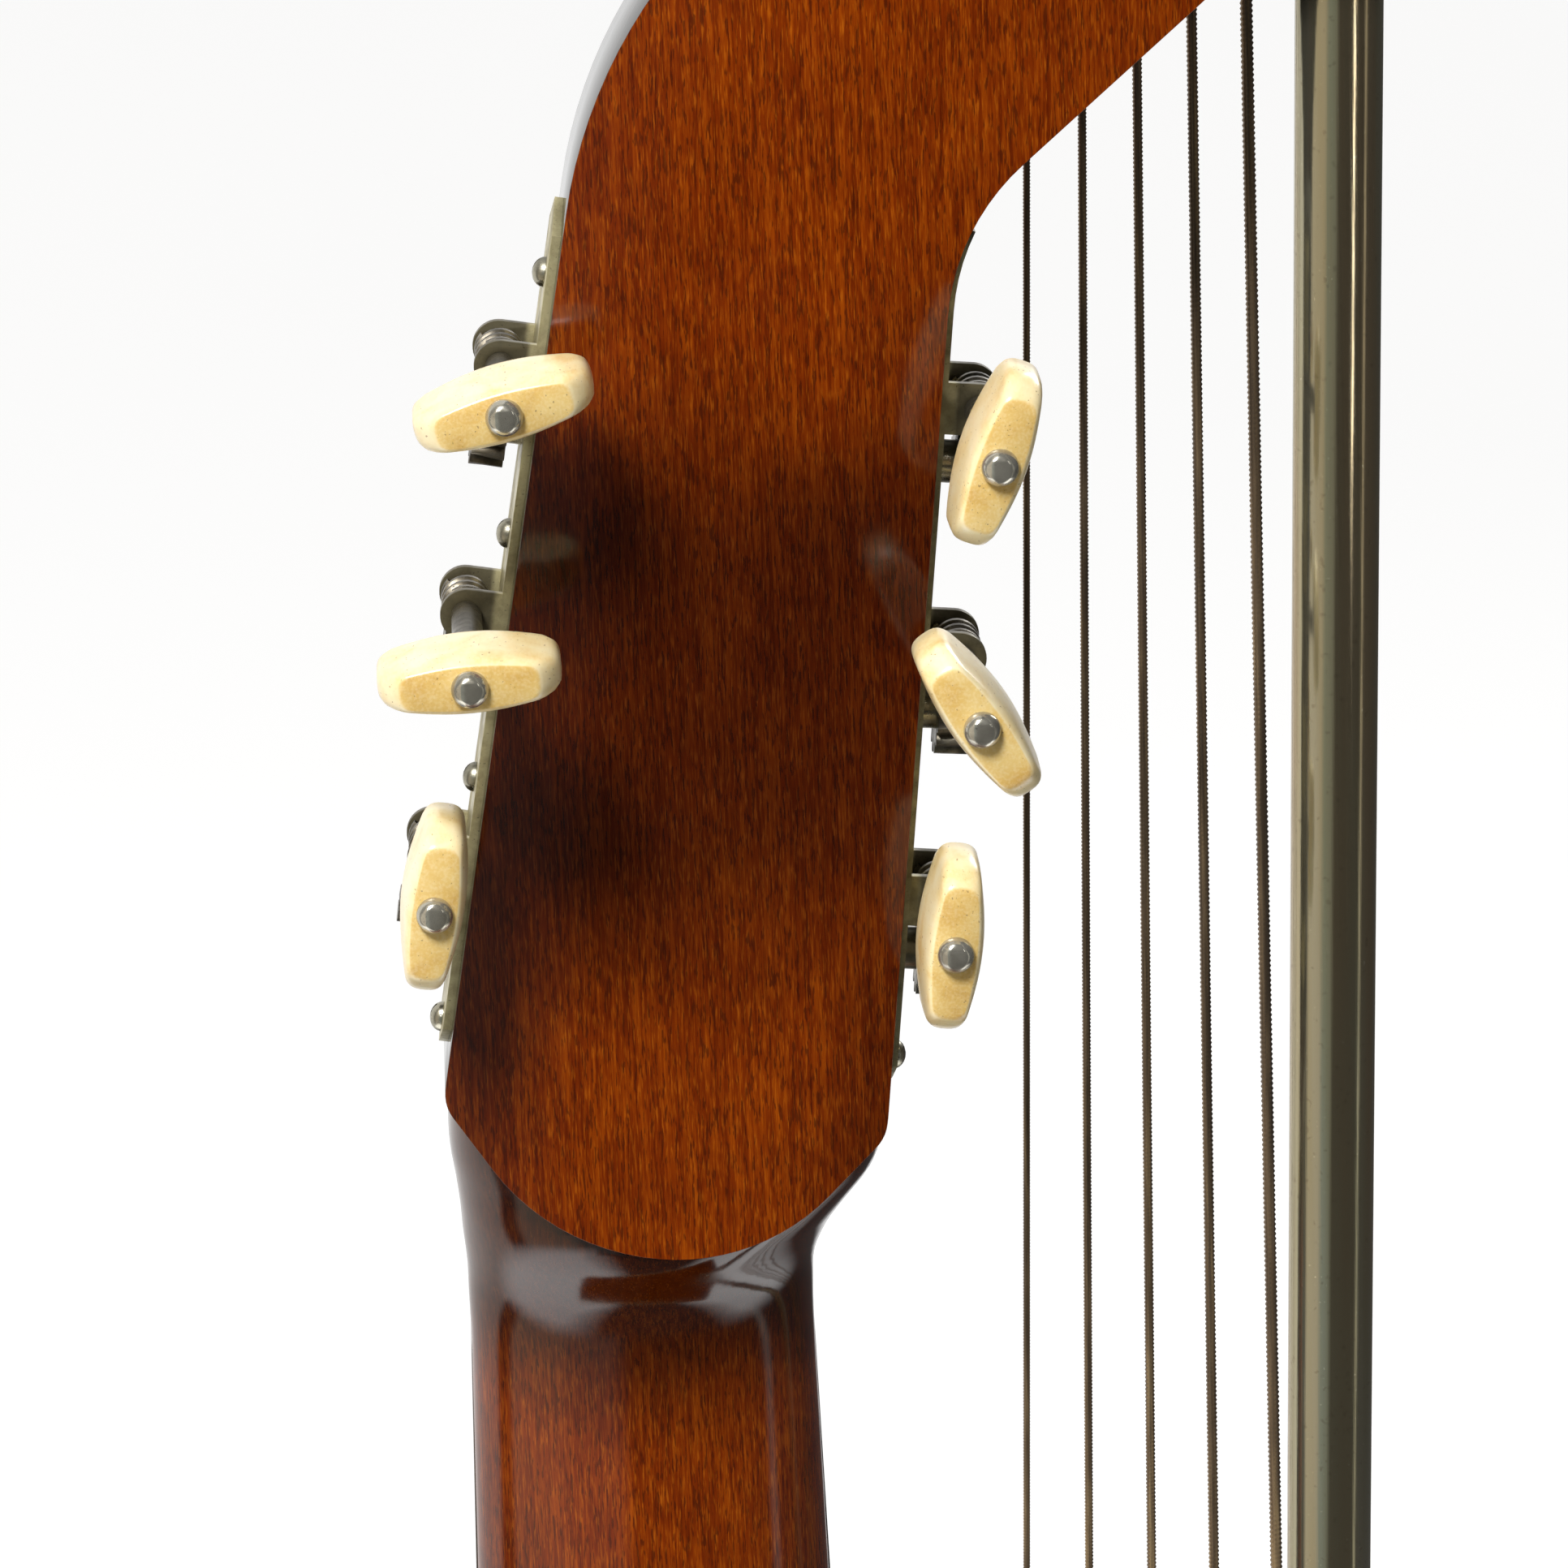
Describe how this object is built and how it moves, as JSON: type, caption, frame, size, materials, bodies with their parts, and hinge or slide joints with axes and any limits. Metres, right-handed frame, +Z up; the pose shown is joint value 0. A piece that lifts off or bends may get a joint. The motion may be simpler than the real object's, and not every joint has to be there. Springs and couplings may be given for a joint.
{
  "type": "harp guitar",
  "caption": "Harp guitar with a curved arm from the neck head to a second head, open sub-bass strings beside the neck, a metal column and geared tuning keys.",
  "frame": {"origin": "on the end peg's axis, 3 mm below the bottom of the body", "axes": "+Z up the neck, -Y out of the soundboard towards the listener, +X to the treble side, -X to the bass side with the column"},
  "size_m": [0.372, 0.1058, 1.2065],
  "materials": {
    "spruce": "gloss",
    "stained_beech": "gloss",
    "inner_wood": "matte",
    "blackwood": "satin",
    "bone": "satin",
    "celluloid": "gloss",
    "pearl": "gloss",
    "aged_nickel": "satin",
    "tuner_steel": "satin",
    "fret_wire": "polished",
    "column_nickel": "polished",
    "plain_strings": "polished",
    "wound_strings": "satin"
  },
  "bodies": {
    "instrument": {"soundboard": "spruce", "back_plate": "stained_beech", "rib_treble": "stained_beech", "rib_bass": "stained_beech", "linings": "inner_wood", "end_blocks": "inner_wood", "top_braces": "inner_wood", "back_braces": "inner_wood", "bindings": "celluloid", "rosette": "blackwood", "bridge": "blackwood", "saddles": "bone", "bridge_pins": "bone", "end_pin": "blackwood", "neck": "stained_beech", "fingerboard": "blackwood", "frets": "fret_wire", "position_dots": "pearl", "nuts": "bone", "harp_head": "stained_beech", "head_tuner_plates": "aged_nickel", "bass_tuner_plates": "aged_nickel", "plate_screws": "aged_nickel", "column": "column_nickel", "column_sockets": "column_nickel", "strings_main": "plain_strings", "strings_bass": "wound_strings"},
    "key_1": {"button_1": "bone", "worm_1": "tuner_steel"},
    "roller_1": {"roller_1": "tuner_steel"},
    "key_2": {"button_2": "bone", "worm_2": "tuner_steel"},
    "roller_2": {"roller_2": "tuner_steel"},
    "key_3": {"button_3": "bone", "worm_3": "tuner_steel"},
    "roller_3": {"roller_3": "tuner_steel"},
    "key_4": {"button_4": "bone", "worm_4": "tuner_steel"},
    "roller_4": {"roller_4": "tuner_steel"},
    "key_5": {"button_5": "bone", "worm_5": "tuner_steel"},
    "roller_5": {"roller_5": "tuner_steel"},
    "key_6": {"button_6": "bone", "worm_6": "tuner_steel"},
    "roller_6": {"roller_6": "tuner_steel"},
    "key_7": {"button_7": "bone", "worm_7": "tuner_steel"},
    "roller_7": {"roller_7": "tuner_steel"},
    "key_8": {"button_8": "bone", "worm_8": "tuner_steel"},
    "roller_8": {"roller_8": "tuner_steel"},
    "key_9": {"button_9": "bone", "worm_9": "tuner_steel"},
    "roller_9": {"roller_9": "tuner_steel"},
    "key_10": {"button_10": "bone", "worm_10": "tuner_steel"},
    "roller_10": {"roller_10": "tuner_steel"},
    "key_11": {"button_11": "bone", "worm_11": "tuner_steel"},
    "roller_11": {"roller_11": "tuner_steel"}
  },
  "joints": [
    {"name": "key_1_turn", "type": "hinge", "parent": "instrument", "child": "key_1", "pos_m": [0.02653, -0.034, 0.8876], "axis": [0, 1, 0], "continuous": true},
    {"name": "key_2_turn", "type": "hinge", "parent": "instrument", "child": "key_2", "pos_m": [0.02033, -0.034, 0.92205], "axis": [0, 1, 0], "continuous": true},
    {"name": "key_3_turn", "type": "hinge", "parent": "instrument", "child": "key_3", "pos_m": [0.01413, -0.034, 0.9565], "axis": [0, 1, 0], "continuous": true},
    {"name": "key_4_turn", "type": "hinge", "parent": "instrument", "child": "key_4", "pos_m": [-0.05058, -0.034, 0.9474], "axis": [0, 1, 0], "continuous": true},
    {"name": "key_5_turn", "type": "hinge", "parent": "instrument", "child": "key_5", "pos_m": [-0.04705, -0.034, 0.91258], "axis": [0, 1, 0], "continuous": true},
    {"name": "key_6_turn", "type": "hinge", "parent": "instrument", "child": "key_6", "pos_m": [-0.04351, -0.034, 0.87776], "axis": [0, 1, 0], "continuous": true},
    {"name": "key_7_turn", "type": "hinge", "parent": "instrument", "child": "key_7", "pos_m": [-0.0392, -0.034, 1.088], "axis": [0, 1, 0], "continuous": true},
    {"name": "key_8_turn", "type": "hinge", "parent": "instrument", "child": "key_8", "pos_m": [-0.0392, -0.034, 1.123], "axis": [0, 1, 0], "continuous": true},
    {"name": "key_9_turn", "type": "hinge", "parent": "instrument", "child": "key_9", "pos_m": [-0.0392, -0.034, 1.158], "axis": [0, 1, 0], "continuous": true},
    {"name": "key_10_turn", "type": "hinge", "parent": "instrument", "child": "key_10", "pos_m": [-0.1106, -0.034, 1.1405], "axis": [0, 1, 0], "continuous": true},
    {"name": "key_11_turn", "type": "hinge", "parent": "instrument", "child": "key_11", "pos_m": [-0.1106, -0.034, 1.1055], "axis": [0, 1, 0], "continuous": true},
    {"name": "roller_1_turn", "type": "hinge", "parent": "instrument", "child": "roller_1", "pos_m": [0.0281, -0.034, 0.87884], "axis": [0.9842, 0, 0.1772], "continuous": true},
    {"name": "roller_2_turn", "type": "hinge", "parent": "instrument", "child": "roller_2", "pos_m": [0.0219, -0.034, 0.91329], "axis": [0.9842, 0, 0.1772], "continuous": true},
    {"name": "roller_3_turn", "type": "hinge", "parent": "instrument", "child": "roller_3", "pos_m": [0.0157, -0.034, 0.94774], "axis": [0.9842, 0, 0.1772], "continuous": true},
    {"name": "roller_4_turn", "type": "hinge", "parent": "instrument", "child": "roller_4", "pos_m": [-0.04968, -0.034, 0.93855], "axis": [-0.9949, 0, -0.101], "continuous": true},
    {"name": "roller_5_turn", "type": "hinge", "parent": "instrument", "child": "roller_5", "pos_m": [-0.04615, -0.034, 0.90373], "axis": [-0.9949, 0, -0.101], "continuous": true},
    {"name": "roller_6_turn", "type": "hinge", "parent": "instrument", "child": "roller_6", "pos_m": [-0.04262, -0.034, 0.86891], "axis": [-0.9949, 0, -0.101], "continuous": true},
    {"name": "roller_7_turn", "type": "hinge", "parent": "instrument", "child": "roller_7", "pos_m": [-0.0392, -0.034, 1.0791], "axis": [1, 0, 0], "continuous": true},
    {"name": "roller_8_turn", "type": "hinge", "parent": "instrument", "child": "roller_8", "pos_m": [-0.0392, -0.034, 1.1141], "axis": [1, 0, 0], "continuous": true},
    {"name": "roller_9_turn", "type": "hinge", "parent": "instrument", "child": "roller_9", "pos_m": [-0.0392, -0.034, 1.1491], "axis": [1, 0, 0], "continuous": true},
    {"name": "roller_10_turn", "type": "hinge", "parent": "instrument", "child": "roller_10", "pos_m": [-0.1106, -0.034, 1.1316], "axis": [-1, 0, 0], "continuous": true},
    {"name": "roller_11_turn", "type": "hinge", "parent": "instrument", "child": "roller_11", "pos_m": [-0.1106, -0.034, 1.0966], "axis": [-1, 0, 0], "continuous": true}
  ],
  "couplings": [
    {"joint": "roller_1_turn", "follows": "key_1_turn", "ratio": 0.071429},
    {"joint": "roller_2_turn", "follows": "key_2_turn", "ratio": 0.071429},
    {"joint": "roller_3_turn", "follows": "key_3_turn", "ratio": 0.071429},
    {"joint": "roller_4_turn", "follows": "key_4_turn", "ratio": 0.071429},
    {"joint": "roller_5_turn", "follows": "key_5_turn", "ratio": 0.071429},
    {"joint": "roller_6_turn", "follows": "key_6_turn", "ratio": 0.071429},
    {"joint": "roller_7_turn", "follows": "key_7_turn", "ratio": 0.071429},
    {"joint": "roller_8_turn", "follows": "key_8_turn", "ratio": 0.071429},
    {"joint": "roller_9_turn", "follows": "key_9_turn", "ratio": 0.071429},
    {"joint": "roller_10_turn", "follows": "key_10_turn", "ratio": 0.071429},
    {"joint": "roller_11_turn", "follows": "key_11_turn", "ratio": 0.071429}
  ]
}
